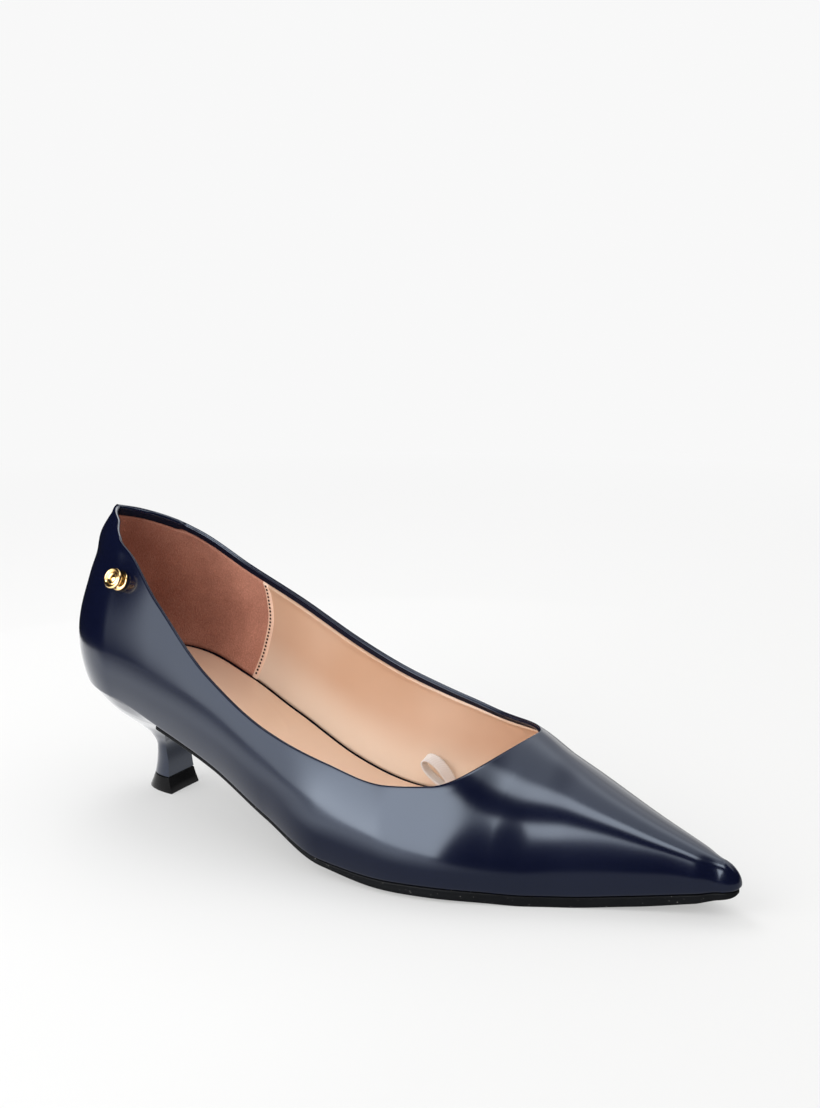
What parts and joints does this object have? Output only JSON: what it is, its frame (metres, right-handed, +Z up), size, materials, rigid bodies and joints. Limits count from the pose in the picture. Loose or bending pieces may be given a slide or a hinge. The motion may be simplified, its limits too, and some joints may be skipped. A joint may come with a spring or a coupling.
{
  "type": "kitten heel pump",
  "caption": "Pointed women's pump for the right foot with a low hourglass heel, a deep V throat, a hollow leather upper and a turned stud on the outer back quarter.",
  "frame": {"origin": "on the floor, under the middle of the heel tip", "axes": "+X along the shoe towards the toe, +Y towards the inner side of the right foot, +Z up"},
  "size_m": [0.2507, 0.0797, 0.1051],
  "materials": {
    "navy_leather": "smooth polished calf, navy",
    "heel_cover": "smooth navy leather stretched over the heel, black at the breast",
    "black_sole": "black sole with a burnished edge",
    "black_top_piece": "black polished top piece",
    "tan_leather": "soft matt tan lining leather",
    "gold": "polished pale gold",
    "white_ribbon": "woven off-white ribbon"
  },
  "bodies": {
    "root": {"upper": "navy_leather", "outsole": "black_sole", "insole": "tan_leather", "heel": "heel_cover", "heel_tip": "black_top_piece", "stud": "gold", "ribbon_loop": "white_ribbon"}
  },
  "joints": []
}
